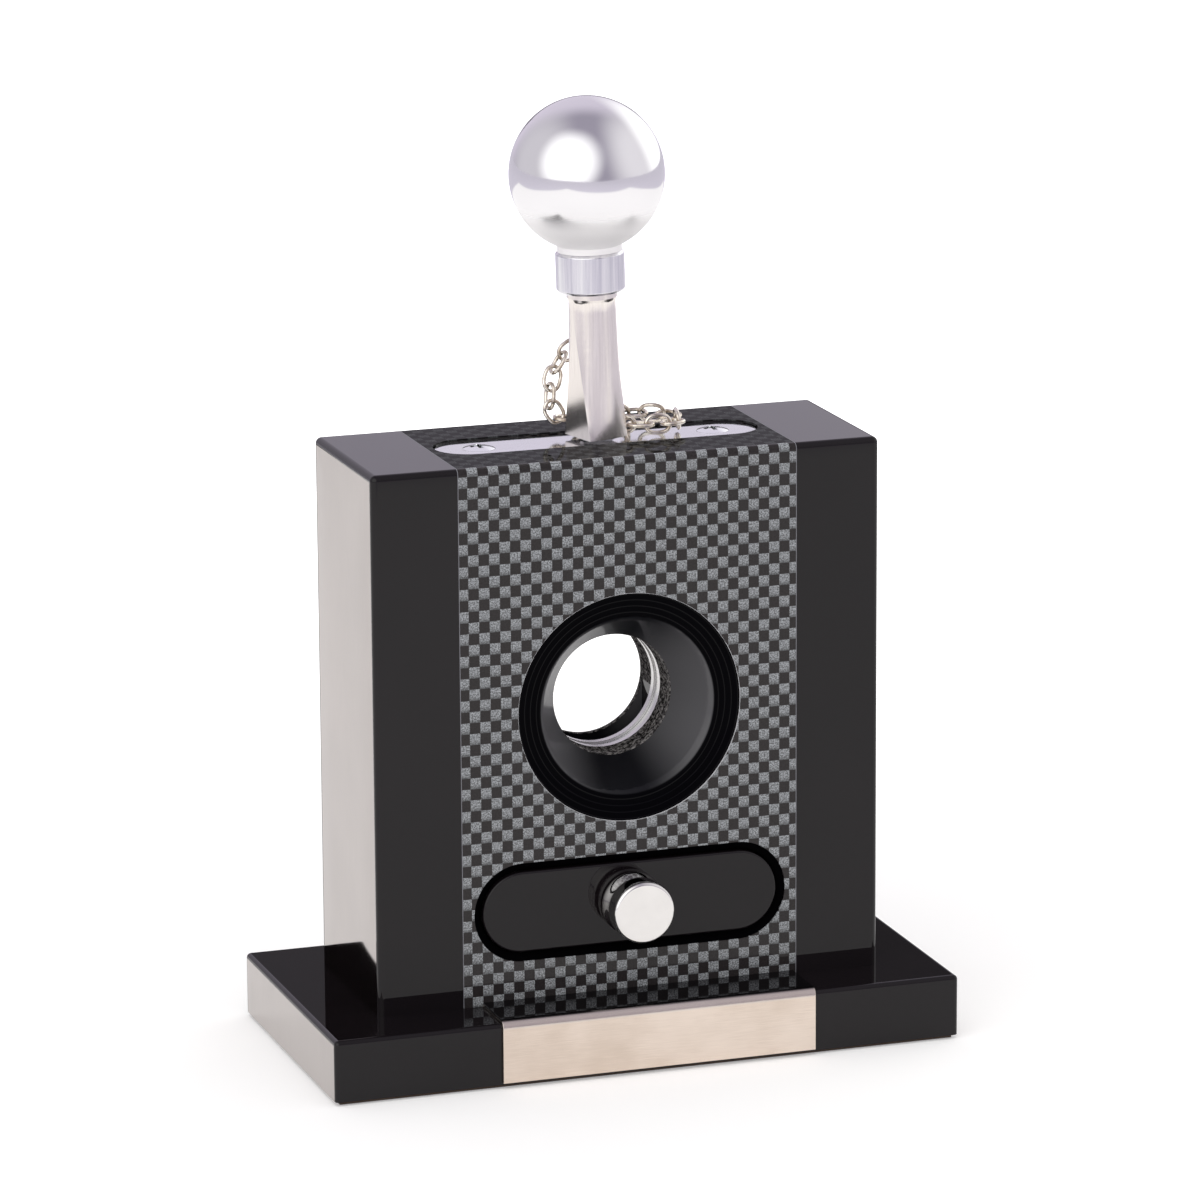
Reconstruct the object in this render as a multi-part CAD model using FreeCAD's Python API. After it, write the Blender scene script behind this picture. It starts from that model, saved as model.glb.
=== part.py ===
# Table-top guillotine cigar cutter: a lacquered body on a wide base, with a plunger handle and a drawer.
# Millimetres. The origin is on the table under the middle of the base, +Z is up and the front faces -Y.
import FreeCAD, Part
import math
import os

from FreeCAD import Vector

os.makedirs("parts", exist_ok=True)

# Body
body_width = 103.0
body_depth = 38.6
body_height = 107.0
edge_round = 1.2

# Base: how far it stands out round the body, and its own smaller edge rounding
base_step_side = 12.5
base_step_front = 12.2
base_height = 13.0
base_edge_round = 0.9
felt_thickness = 0.8
felt_inset = 1.0

# Steel plates let into the sides, and the bent plate on the front of the base
side_plate_thickness = 0.8
side_plate_border = 1.4
base_plate_border = 1.0
front_plate_width = 64.2
front_plate_offset = 1.6
front_plate_thickness = 0.8
front_plate_lift = 0.4

# Carbon band round the front, top and back of the body, with a margin beside its widest opening
band_margin = 1.4
band_thickness = 0.3

# Cigar bore with a funnel at each end
bore_diameter = 24.0
bore_rise = 57.3
funnel_rim_diameter = 45.4
funnel_rim_sink = 0.4
funnel_dish_diameter = 35.4
funnel_dish_sink = 1.3
front_funnel_depth = 11.0
rear_funnel_depth = 10.0
funnel_floor = 1.0

# Cutter cassette
guide_thickness = 1.5
blade_thickness = 2.0
blade_face_gap = 0.1
blade_window_margin = 0.5
blade_leg = 4.0
blade_bar = 4.0
blade_strip = 5.2
blade_foot = 0.5
blade_bevel = 2.6
blade_edge = 0.2
blade_corner = 2.0
rail_width = 3.4
stop_height = 5.4
rivet_diameter = 1.8
rivet_rows = 3
tang_width = 6.0
tang_grip = 12.0

# Top plate in its recess
recess_length = 66.0
recess_width = 14.0
plate_sink = 0.5
plate_thickness = 1.5
plate_edge_gap = 0.3
plate_screw_spacing = 48.0
plate_screw_diameter = 2.8
plate_screw_head = 6.4
plate_screw_dome = 0.6
plate_screw_length = 11.0

# Handle
foot_lift = 0.4
foot_width = 8.6
foot_depth = 10.4
foot_side = 9.0
stem_diameter = 9.2
stem_length = 28.6
stem_band_diameter = 9.9
stem_neck_height = 1.5
stem_flare_height = 0.9
stem_band_height = 1.0
collar_diameter = 13.4
collar_height = 8.0
collar_neck_diameter = 10.6
collar_top_bevel = 2.0
collar_foot_bevel = 0.5
ball_diameter = 30.4
ball_neck_diameter = 10.5
ball_rise = 16.5
stud_diameter = 6.0
stud_length = 22.0
handle_lean_deg = 2.5

# Drawer
drawer_length = 60.4
drawer_height = 16.2
drawer_rise = 18.2
drawer_reach = 32.0
drawer_front_thickness = 6.0
drawer_front_round = 0.5
drawer_wall = 2.0
drawer_rim_above_middle = 4.6
drawer_gap = 0.3
drawer_border = 1.5
drawer_border_sink = 1.1

# Drawer knob
knob_diameter = 12.4
knob_length = 8.6
knob_face_round = 0.9
knob_foot_diameter = 10.8
knob_foot_length = 1.8
knob_ring_length = 1.4
knob_groove_diameter = 11.2
knob_groove_length = 0.9
knob_screw_diameter = 3.0
knob_screw_head = 5.6
knob_screw_head_height = 2.0
knob_screw_grip = 5.5

# Tether chain
wire_diameter = 0.9
link_length = 6.0
link_width = 4.4
link_slack = 0.7
eye_ring_diameter = 3.8
eye_shank_diameter = 1.2
eye_above_foot = 16.0
eye_stand_off = 2.6
eye_grip = 2.4
wire_sides = 8
turn_steps = 6

# Wood joints and screws
dowel_diameter = 5.0
dowel_length = 16.0
dowel_inset = 11.0
base_screw_diameter = 4.0
base_screw_head = 8.0
base_screw_grip = 12.0
base_screw_spacing_x = 84.0
base_screw_spacing_y = 19.0

cross_length = 3.4
cross_width = 0.8
cross_depth = 1.2

# Fits: glued or screwed seats, and the running gap at the sides of the blade and its tang
seat_gap = 0.05
side_gap = 0.3

# Levels and places worked out from the sizes above
base_width = body_width + 2 * base_step_side
base_depth = body_depth + 2 * base_step_front
border_length = drawer_length + 2 * drawer_gap + 2 * drawer_border
border_height = drawer_height + 2 * drawer_gap + 2 * drawer_border
band_width = max(recess_length, border_length, funnel_rim_diameter) + 2 * band_margin
body_top = base_height + body_height
bore_z = base_height + bore_rise
body_front = -body_depth / 2
plate_top = body_top - plate_sink
plate_under = plate_top - plate_thickness
foot_z = body_top + foot_lift
stem_top = foot_z + stem_length
collar_top = stem_top + collar_height
ball_z = collar_top + ball_rise
drawer_z = base_height + drawer_rise
blade_half_gap = blade_thickness / 2 + blade_face_gap
cassette_half = blade_half_gap + guide_thickness
window_diameter = bore_diameter + 2 * blade_window_margin
blade_width = window_diameter + 2 * blade_leg
cassette_width = blade_width + 2 * side_gap + 2 * rail_width
edge_z = bore_z - window_diameter / 2 - blade_strip
stop_z = edge_z - blade_foot - blade_face_gap
cassette_floor = stop_z - stop_height
bar_top = bore_z + window_diameter / 2 + blade_bar
lift_travel = bore_diameter / 2 + bore_z - edge_z + blade_edge


def box(x0, x1, y0, y1, z0, z1):
    return Part.makeBox(x1 - x0, y1 - y0, z1 - z0, Vector(x0, y0, z0))


def rod(diameter, start, end):
    axis = end - start
    return Part.makeCylinder(diameter / 2, axis.Length, start, axis)


def stadium(length, width):
    # A slot outline in the XY plane: two straight sides and two half-round ends
    r = width / 2
    h = length / 2 - r
    return Part.Wire([
        Part.LineSegment(Vector(-h, -r), Vector(h, -r)).toShape(),
        Part.Arc(Vector(h, -r), Vector(h + r, 0), Vector(h, r)).toShape(),
        Part.LineSegment(Vector(h, r), Vector(-h, r)).toShape(),
        Part.Arc(Vector(-h, r), Vector(-h - r, 0), Vector(-h, -r)).toShape(),
    ])


def upright_stadium(length, width, y):
    # The same outline standing in the plane of the drawer's front, at depth y
    wire = stadium(length, width)
    wire.rotate(Vector(), Vector(1, 0, 0), 90)
    wire.translate(Vector(0, y, drawer_z))
    return wire


def prism(wire, run):
    return Part.Face(wire).extrude(run)


def polygon(points):
    return Part.Face(Part.makePolygon(points + points[:1]))


def turned(profile, centre, axis, side):
    # A turned solid: the profile has (radius, distance along the axis) points, and arcs as pairs of points
    def place(radius, distance):
        return centre + side * radius + axis * distance

    edges = []
    last = profile[0]
    for step in profile[1:]:
        if len(step) == 4:
            edges.append(Part.Arc(place(*last), place(*step[:2]), place(*step[2:])).toShape())
            last = step[2:]
        else:
            edges.append(Part.LineSegment(place(*last), place(*step)).toShape())
            last = step
    if math.dist(last, profile[0]) > 1e-6:
        edges.append(Part.LineSegment(place(*last), place(*profile[0])).toShape())
    face = Part.Face(Part.Wire(edges))
    return solid(face.revolve(centre, axis, 360))


def solid(shape):
    # One clean solid, turned right side out
    found = shape.Solids[0] if shape.Solids else Part.Solid(shape.Shells[0])
    if found.Volume < 0:
        found.reverse()
    return found


def joined(shapes):
    return solid(shapes[0].fuse(shapes[1:]).removeSplitter())


def cut(shape, tools):
    return solid(shape.cut(tools).removeSplitter())


def save(name, shapes):
    whole = shapes[0] if len(shapes) == 1 else Part.makeCompound(shapes)
    whole.exportStep("parts/" + name + ".step")


def cross_recess(face_centre, inward):
    # Two crossed slots, cut into a screw's head from the middle of its face
    half_long = cross_length / 2
    half_wide = cross_width / 2
    arms = [
        box(-half_long, half_long, -half_wide, half_wide, 0, cross_depth),
        box(-half_wide, half_wide, -half_long, half_long, 0, cross_depth),
    ]
    for arm in arms:
        arm.Placement = FreeCAD.Placement(face_centre, FreeCAD.Rotation(Vector(0, 0, 1), inward))
    return arms


def corners(x, y):
    return [(sx * x, sy * y) for sx in (-1, 1) for sy in (-1, 1)]


# Base block: lacquered, with its upper edges and its upright corners rounded
base_half_x = base_width / 2
base_half_y = base_depth / 2
base_blank = box(-base_half_x, base_half_x, -base_half_y, base_half_y, felt_thickness, base_height)
base_round_edges = [e for e in base_blank.Edges if e.BoundBox.ZMax > base_height - base_edge_round]
base_blank = base_blank.makeFillet(base_edge_round, base_round_edges)


def base_side_plate(side, grow):
    # grow opens the plate's rebate round the plate
    outer = side * base_half_x
    inner = side * (base_half_x - side_plate_thickness)
    half_y = base_half_y - base_plate_border + grow
    low = felt_thickness - grow
    high = base_height - base_plate_border + grow
    return box(min(outer, inner), max(outer, inner), -half_y, half_y, low, high)


def base_screw(x, y, grow):
    # Countersunk wood screw, driven up through the base into the body
    head_height = (base_screw_head - base_screw_diameter) / 2
    r = base_screw_diameter / 2 + grow
    profile = [
        (0, 0),
        (base_screw_head / 2 + grow, 0),
        (r, head_height),
        (r, base_height - felt_thickness + base_screw_grip + grow),
        (0, base_height - felt_thickness + base_screw_grip + grow),
    ]
    return turned(profile, Vector(x, y, felt_thickness), Vector(0, 0, 1), Vector(1, 0, 0))


screw_places = corners(base_screw_spacing_x / 2, base_screw_spacing_y / 2)
base_screw_holes = [base_screw(x, y, seat_gap) for x, y in screw_places]
base_cuts = [base_side_plate(side, seat_gap) for side in (-1, 1)]
save("base_block", [cut(base_blank, base_cuts + base_screw_holes)])
save("base_side_plate_left", [base_side_plate(-1, 0)])
save("base_side_plate_right", [base_side_plate(1, 0)])
save("base_screws", [
    cut(base_screw(x, y, 0), cross_recess(Vector(x, y, felt_thickness), Vector(0, 0, 1)))
    for x, y in screw_places
])

felt_x = base_half_x - felt_inset
felt_y = base_half_y - felt_inset
save("base_felt", [box(-felt_x, felt_x, -felt_y, felt_y, 0, felt_thickness)])


# Front plate of the base: one sheet, bent over the base's rounded front edge and run back to the body
def front_plate_profile(offset):
    # The sheet's path at an offset from the base, as the edges of an open line from the foot to the body
    y_face = -base_half_y - offset
    z_face = base_height + offset
    turn = base_edge_round + offset
    bend_y = -base_half_y + base_edge_round
    bend_z = base_height - base_edge_round
    mid = turn * math.sqrt(0.5)
    x = front_plate_offset - front_plate_width / 2
    foot = Vector(x, y_face, felt_thickness + front_plate_lift)
    start = Vector(x, y_face, bend_z)
    middle = Vector(x, bend_y - mid, bend_z + mid)
    end = Vector(x, bend_y, z_face)
    tail = Vector(x, body_front - seat_gap, z_face)
    edges = [
        Part.LineSegment(foot, start).toShape(),
        Part.Arc(start, middle, end).toShape(),
        Part.LineSegment(end, tail).toShape(),
    ]
    return edges, foot, tail


inside_edges, inside_foot, inside_tail = front_plate_profile(0)
outside_edges, outside_foot, outside_tail = front_plate_profile(front_plate_thickness)
sheet_ends = [
    Part.LineSegment(inside_foot, outside_foot).toShape(),
    Part.LineSegment(inside_tail, outside_tail).toShape(),
]
sheet_wire = Part.Wire(Part.__sortEdges__(inside_edges + outside_edges + sheet_ends))
save("base_front_plate", [solid(prism(sheet_wire, Vector(front_plate_width, 0, 0)))])

# Body blank: one lacquered block, later parted along Y = 0 into the two halves that are glued together
body_half_x = body_width / 2
body_half_y = body_depth / 2
body_blank = box(-body_half_x, body_half_x, -body_half_y, body_half_y, base_height, body_top)
body_round_edges = [e for e in body_blank.Edges if e.BoundBox.ZMax > body_top - edge_round]
body_blank = body_blank.makeFillet(edge_round, body_round_edges)


def body_side_plate(side, grow):
    outer = side * body_half_x
    inner = side * (body_half_x - side_plate_thickness)
    half_y = body_half_y - side_plate_border + grow
    high = body_top - side_plate_border + grow
    return box(min(outer, inner), max(outer, inner), -half_y, half_y, base_height, high)


def band_block(inset):
    # The stretch of the body behind the band, with its two upper edges rounded
    half_y = body_half_y - inset
    block = box(-band_width / 2, band_width / 2, -half_y, half_y, base_height, body_top - inset)
    along_top = [e for e in block.Edges if e.BoundBox.ZMin > body_top - edge_round]
    bent_edges = [e for e in along_top if e.BoundBox.XLength > edge_round]
    return block.makeFillet(edge_round - inset, bent_edges)


band_blank = band_block(0).cut(band_block(band_thickness))

# Holes shared by the band and the body
through_bore = rod(bore_diameter, Vector(0, -body_depth, bore_z), Vector(0, body_depth, bore_z))
rim_front = rod(
    funnel_rim_diameter,
    Vector(0, body_front, bore_z),
    Vector(0, body_front + front_funnel_depth + funnel_floor, bore_z),
)
rim_rear = rod(
    funnel_rim_diameter,
    Vector(0, -body_front, bore_z),
    Vector(0, -body_front - rear_funnel_depth - funnel_floor, bore_z),
)
recess = prism(stadium(recess_length, recess_width), Vector(0, 0, plate_sink + plate_thickness))
recess.translate(Vector(0, 0, plate_under))
pocket_length = drawer_length + 2 * drawer_gap
pocket_height = drawer_height + 2 * drawer_gap
border_cut = Part.makeLoft(
    [
        upright_stadium(border_length, border_height, body_front),
        upright_stadium(pocket_length, pocket_height, body_front + drawer_border_sink),
    ],
    True,
    True,
)
drawer_pocket = prism(
    upright_stadium(pocket_length, pocket_height, body_front), Vector(0, drawer_reach + drawer_gap, 0)
)
band_window = prism(upright_stadium(border_length, border_height, body_front), Vector(0, band_thickness, 0))
save("carbon_band", [cut(band_blank, [rim_front, rim_rear, recess, band_window])])

# Pockets inside the body: the cassette, the clippings' way down to the drawer, dowels and screws
cassette_pocket = box(
    -cassette_width / 2 - seat_gap,
    cassette_width / 2 + seat_gap,
    -cassette_half - seat_gap,
    cassette_half + seat_gap,
    cassette_floor - seat_gap,
    body_top,
)
chute = box(
    -bore_diameter / 2,
    bore_diameter / 2,
    cassette_half + seat_gap,
    -body_front - rear_funnel_depth - funnel_floor,
    drawer_z,
    bore_z,
)


def plate_screw(x, grow):
    # Raised countersunk screw: dome, cone and shank, down from the plate's face
    r = plate_screw_diameter / 2 + grow
    head = plate_screw_head / 2 + grow
    cone = (plate_screw_head - plate_screw_diameter) / 2
    dome_middle = 0.6
    profile = [
        (0, plate_screw_dome),
        (head * dome_middle, plate_screw_dome * (1 - dome_middle ** 2), head, 0),
        (r, -cone),
        (r, -plate_screw_length - grow),
        (0, -plate_screw_length - grow),
    ]
    return turned(profile, Vector(x, 0, plate_top), Vector(0, 0, 1), Vector(1, 0, 0))


def dowel(x, z, grow):
    half = dowel_length / 2 + grow
    return rod(dowel_diameter + 2 * grow, Vector(x, -half, z), Vector(x, half, z))


plate_screw_places = [-plate_screw_spacing / 2, plate_screw_spacing / 2]
plate_screw_holes = [plate_screw(x, seat_gap) for x in plate_screw_places]
dowel_x = body_half_x - dowel_inset
dowel_places = [
    (side * dowel_x, z)
    for side in (-1, 1)
    for z in (drawer_z + dowel_inset, body_top - dowel_inset)
]
body_cuts = [band_blank, through_bore, rim_front, rim_rear, recess, border_cut, drawer_pocket]
body_cuts += [cassette_pocket, chute] + plate_screw_holes + base_screw_holes
body_cuts += [body_side_plate(side, seat_gap) for side in (-1, 1)]
body_cuts += [dowel(x, z, seat_gap) for x, z in dowel_places]
half_block = box(-body_width, body_width, 0, body_depth, 0, body_top + body_depth)
body_whole = body_blank.cut(body_cuts)
save("body_front_half", [solid(body_whole.cut(half_block).removeSplitter())])
save("body_rear_half", [solid(body_whole.common(half_block).removeSplitter())])
save("body_side_plate_left", [body_side_plate(-1, 0)])
save("body_side_plate_right", [body_side_plate(1, 0)])
save("body_dowels", [dowel(x, z, 0) for x, z in dowel_places])
screw_crown = plate_top + plate_screw_dome
save("top_plate_screws", [
    cut(plate_screw(x, 0), cross_recess(Vector(x, 0, screw_crown), Vector(0, 0, -1)))
    for x in plate_screw_places
])


# Funnels: turned rings with a dished lip just under the face, a cone and a short stretch of bore
def funnel(depth, face_y, inward):
    rim = funnel_rim_diameter / 2 - seat_gap
    dish = funnel_dish_diameter / 2
    bore = bore_diameter / 2
    lip_middle = (rim + dish) / 2
    lip_sink = (funnel_rim_sink + funnel_dish_sink) / 2 + funnel_rim_sink / 2
    profile = [
        (rim, funnel_rim_sink),
        (lip_middle, lip_sink, dish, funnel_dish_sink),
        (bore, depth),
        (bore, depth + funnel_floor),
        (rim, depth + funnel_floor),
    ]
    return turned(profile, Vector(0, face_y, bore_z), Vector(0, inward, 0), Vector(1, 0, 0))


save("front_funnel", [funnel(front_funnel_depth, body_front, 1)])
save("rear_funnel", [funnel(rear_funnel_depth, -body_front, -1)])

# Cutter cassette: two guide plates riveted over a U-shaped spacer
rail_x = cassette_width / 2 - rail_width / 2
rivet_low = cassette_floor + stop_height / 2
rivet_step = (plate_under - rail_width - rivet_low) / (rivet_rows - 1)
rivet_places = [
    (side * rail_x, rivet_low + row * rivet_step)
    for side in (-1, 1)
    for row in range(rivet_rows)
]


def rivet(x, z, grow):
    return rod(rivet_diameter + 2 * grow, Vector(x, -cassette_half, z), Vector(x, cassette_half, z))


rivet_holes = [rivet(x, z, seat_gap) for x, z in rivet_places]


def guide_plate(y0, y1):
    plate = box(-cassette_width / 2, cassette_width / 2, y0, y1, cassette_floor, plate_under)
    return cut(plate, [through_bore] + rivet_holes)


spacer_half_x = cassette_width / 2
spacer_half_y = blade_half_gap
spacer_blank = box(-spacer_half_x, spacer_half_x, -spacer_half_y, spacer_half_y, cassette_floor, plate_under)
way_half_x = blade_width / 2 + side_gap
blade_way = box(-way_half_x, way_half_x, -spacer_half_y, spacer_half_y, stop_z, plate_under)
save("guide_plate_front", [guide_plate(-cassette_half, -blade_half_gap)])
save("guide_plate_rear", [guide_plate(blade_half_gap, cassette_half)])
save("guide_spacer", [cut(spacer_blank, [blade_way] + rivet_holes)])
save("guide_rivets", [rivet(x, z, 0) for x, z in rivet_places])

# Blade: a plate with a round window, a bevelled lower edge between two feet, and a tang up into the stem
blade_half_x = blade_width / 2
blade_half_y = blade_thickness / 2
tang_top = foot_z + tang_grip
blade_plate = box(-blade_half_x, blade_half_x, -blade_half_y, blade_half_y, edge_z - blade_foot, bar_top)
top_edges = [e for e in blade_plate.Edges if e.BoundBox.ZMin > bar_top - blade_corner]
shoulder_edges = [e for e in top_edges if e.BoundBox.XLength < blade_corner]
blade_plate = blade_plate.makeChamfer(blade_corner, shoulder_edges)
tang = box(-tang_width / 2, tang_width / 2, -blade_half_y, blade_half_y, bar_top, tang_top)
window = rod(window_diameter, Vector(0, -blade_thickness, bore_z), Vector(0, blade_thickness, bore_z))
inner_x = window_diameter / 2
foot_gap = box(-inner_x, inner_x, -blade_half_y, blade_half_y, edge_z - blade_foot, edge_z)
bevel = polygon([
    Vector(-inner_x, -blade_half_y, edge_z),
    Vector(-inner_x, blade_half_y - blade_edge, edge_z),
    Vector(-inner_x, -blade_half_y, edge_z + blade_bevel),
]).extrude(Vector(2 * inner_x, 0, 0))
cutter_blade = cut(joined([blade_plate, tang]), [window, foot_gap, bevel])
save("cutter_blade", [cutter_blade])

# Top plate: a slot-shaped plate that closes the recess and holds the cassette down
plate_outline = stadium(recess_length - 2 * plate_edge_gap, recess_width - 2 * plate_edge_gap)
top_plate = prism(plate_outline, Vector(0, 0, plate_thickness))
top_plate.translate(Vector(0, 0, plate_under))
tang_slot = box(
    -tang_width / 2 - side_gap,
    tang_width / 2 + side_gap,
    -blade_half_y - side_gap,
    blade_half_y + side_gap,
    plate_under,
    plate_top,
)

# Stem: round under the collar, with a flat tapering facet on each side that opens out to the foot
upright = Vector(0, 0, 1)
foot_centre = Vector(0, 0, foot_z)
round_z = stem_top - stem_neck_height - stem_flare_height - stem_band_height
fx = foot_width / 2
fs = foot_side / 2
fd = foot_depth / 2
sr = stem_diameter / 2


def stem_face(way):
    # Front or back of the stem: ruled from the foot's shallow arc to half of the stem's circle
    foot_arc = [Vector(-fx, way * fs, foot_z), Vector(0, way * fd, foot_z), Vector(fx, way * fs, foot_z)]
    round_arc = [Vector(-sr, 0, round_z), Vector(0, way * sr, round_z), Vector(sr, 0, round_z)]
    low = Part.Arc(*foot_arc).toShape()
    high = Part.Arc(*round_arc).toShape()
    return Part.makeRuledSurface(low, high), low, high


front_face, front_low, front_high = stem_face(-1)
back_face, back_low, back_high = stem_face(1)


def stem_facet(side):
    return polygon([
        Vector(side * fx, -fs, foot_z),
        Vector(side * fx, fs, foot_z),
        Vector(side * sr, 0, round_z),
    ])


left_edge = Part.LineSegment(Vector(-fx, -fs, foot_z), Vector(-fx, fs, foot_z)).toShape()
right_edge = Part.LineSegment(Vector(fx, -fs, foot_z), Vector(fx, fs, foot_z)).toShape()
foot_face = Part.Face(Part.Wire(Part.__sortEdges__([front_low, back_low, left_edge, right_edge])))
round_face = Part.Face(Part.Wire(Part.__sortEdges__([front_high, back_high])))
stem_shell = Part.makeShell([front_face, back_face, stem_facet(-1), stem_facet(1), foot_face, round_face])
stem_shell.sewShape()
stem_lower = solid(stem_shell)
band_start = stem_neck_height + stem_flare_height
stem_upper = turned(
    [
        (0, 0),
        (sr, 0),
        (sr, stem_neck_height),
        (stem_band_diameter / 2, band_start),
        (stem_band_diameter / 2, band_start + stem_band_height),
        (0, band_start + stem_band_height),
    ],
    Vector(0, 0, round_z),
    upright,
    Vector(1, 0, 0),
)


def lean(shape):
    # The plunger stands a little out of true, towards -X, about its foot
    shape.rotate(foot_centre, Vector(0, 1, 0), -handle_lean_deg)
    return shape


def stud(grow):
    middle = stem_top + collar_height / 2
    half = stud_length / 2 + grow
    return lean(rod(stud_diameter + 2 * grow, Vector(0, 0, middle - half), Vector(0, 0, middle + half)))


# Tether chain: the route from the stem's eye down beside the stem, behind it, and in a loop on the plate
lean_slope = math.tan(math.radians(handle_lean_deg))
eye_z = foot_z + eye_above_foot
eye_x = -lean_slope * eye_above_foot
clear_y = fd + link_width / 2 + side_gap
lie_z = body_top + link_width / 2 + side_gap
# The free stretch of the route is written in sixths of a link, so that it keeps its form with the link
sixth = link_length / 6
route_points = [
    Vector(eye_x, fd + eye_stand_off + eye_ring_diameter / 2, eye_z),
    Vector(-fx - 0.6 * sixth, clear_y + 1.0 * sixth, eye_z - 3.0 * sixth),
    Vector(-fx - 2.7 * sixth, clear_y - 0.6 * sixth, eye_z - 7.4 * sixth),
    Vector(-fx - 3.2 * sixth, clear_y - 1.2 * sixth, lie_z + 3.6 * sixth),
    Vector(-fx - 1.7 * sixth, clear_y - 0.9 * sixth, lie_z + 0.6 * sixth),
    Vector(0.8 * sixth, clear_y, lie_z),
    Vector(fx + 2.6 * sixth, clear_y - 0.2 * sixth, lie_z),
    Vector(fx + 7.6 * sixth, clear_y - 0.8 * sixth, lie_z),
    Vector(fx + 11.8 * sixth, clear_y - 2.4 * sixth, lie_z - 0.3 * sixth),
    Vector(fx + 13.4 * sixth, clear_y - 6.0 * sixth, lie_z - 0.5 * sixth),
    Vector(fx + 10.6 * sixth, clear_y - 9.4 * sixth, lie_z - 0.5 * sixth),
    Vector(fx + 6.2 * sixth, clear_y - 9.5 * sixth, lie_z - 0.5 * sixth),
    Vector(fx + 2.0 * sixth, clear_y - 7.6 * sixth, lie_z - 0.5 * sixth),
]
route = Part.BSplineCurve()
route.interpolate(route_points)
link_pitch = link_length - 2 * wire_diameter - link_slack
tip_reach = (link_length - wire_diameter) / 2


def next_on_route(start, last):
    # The first parameter past start that lies one pitch from it, or None at the route's end
    here = route.value(start)
    step = (last - route.FirstParameter) / 2000
    low = start
    while low + step <= last:
        high = low + step
        if (route.value(high) - here).Length >= link_pitch:
            for _ in range(40):
                middle = (low + high) / 2
                if (route.value(middle) - here).Length < link_pitch:
                    low = middle
                else:
                    high = middle
            return high
        low = high
    return None


joints = []
parameter = route.FirstParameter
while parameter is not None:
    joints.append(route.value(parameter))
    parameter = next_on_route(parameter, route.LastParameter)


def across(vector, direction):
    # The unit part of a vector that is square to a direction
    part = vector - direction * vector.dot(direction)
    return part.normalize()


# Each link lies along its stretch of the route, and each is turned a quarter from the one before.
# A slow extra twist brings the last one flat, so that the plate's eye can stand upright through it.
runs = [(b - a).normalize() for a, b in zip(joints, joints[1:])]
carried = [across(Vector(0, 1, 0), runs[0])]
for run in runs[1:]:
    carried.append(across(carried[-1], run))
last_link = len(runs) - 1


def rolled(vector, direction, degrees):
    angle = math.radians(degrees)
    return vector * math.cos(angle) + direction.cross(vector) * math.sin(angle)


end_normal = rolled(carried[-1], runs[-1], 90 * (last_link % 2))
flat_normal = across(upright, runs[-1])
end_twist = math.degrees(
    math.atan2(runs[-1].dot(end_normal.cross(flat_normal)), end_normal.dot(flat_normal))
)
end_twist = (end_twist + 90) % 180 - 90
normals = [
    rolled(vector, run, 90 * (i % 2) + end_twist * i / last_link)
    for i, (vector, run) in enumerate(zip(carried, runs))
]


def wire_loop(centres, outward, normal):
    # A closed wire of many-sided section: outward and normal span the section at each centre
    r = wire_diameter / 2
    rings = []
    for centre, out in zip(centres, outward):
        ring = []
        for k in range(wire_sides):
            angle = 2 * math.pi * (k + 0.5) / wire_sides
            ring.append(centre + out * (r * math.cos(angle)) + normal * (r * math.sin(angle)))
        rings.append(ring)
    faces = []
    for ring, after in zip(rings, rings[1:] + rings[:1]):
        for k in range(wire_sides):
            m = (k + 1) % wire_sides
            faces.append(polygon([ring[k], ring[m], after[m], after[k]]))
    shell = Part.makeShell(faces)
    shell.sewShape()
    return solid(shell)


def chain_link(centre, run, normal):
    # An oval link: two half turns joined by straight sides
    turn = (link_width - wire_diameter) / 2
    straight = tip_reach - turn
    side = normal.cross(run)
    centres = []
    outward = []
    for end in (1, -1):
        for k in range(turn_steps + 1):
            angle = math.pi * (k / turn_steps - 0.5)
            out = run * (end * math.cos(angle)) + side * (end * math.sin(angle))
            centres.append(centre + run * (end * straight) + out * turn)
            outward.append(out)
    return wire_loop(centres, outward, normal)


link_centres = [(a + b) * 0.5 for a, b in zip(joints, joints[1:])]
links = [chain_link(c, run, n) for c, run, n in zip(link_centres, runs, normals)]
save("chain_links", links)


def eye(centre, run, normal, shank_way, shank_length):
    # A ring that the end link's tip passes through, on a shank towards what holds it
    turn = (eye_ring_diameter - wire_diameter) / 2
    steps = 2 * turn_steps
    angles = [2 * math.pi * k / steps for k in range(steps)]
    outward = [run * math.cos(a) + normal * math.sin(a) for a in angles]
    ring = wire_loop([centre + out * turn for out in outward], outward, run.cross(normal))
    shank = rod(eye_shank_diameter, centre + shank_way * turn, centre + shank_way * shank_length)
    return joined([ring, shank])


stem_eye_centre = link_centres[0] - runs[0] * tip_reach
plate_eye_centre = link_centres[-1] + runs[-1] * tip_reach
stem_eye_reach = stem_eye_centre.y - fd + eye_grip
plate_eye_reach = plate_eye_centre.z - plate_under
stem_eye = eye(stem_eye_centre, runs[0], normals[0], Vector(0, -1, 0), stem_eye_reach)
plate_eye = eye(plate_eye_centre, runs[-1], normals[-1], Vector(0, 0, -1), plate_eye_reach)
save("chain_stem_eye", [stem_eye])
save("chain_plate_eye", [plate_eye])


def eye_hole(centre, way, reach):
    return rod(eye_shank_diameter + 2 * seat_gap, centre, centre + way * (reach + seat_gap))


plate_eye_hole = eye_hole(plate_eye_centre, Vector(0, 0, -1), plate_eye_reach)
save("top_plate", [cut(top_plate, [tang_slot, plate_eye_hole] + plate_screw_holes)])

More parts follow.
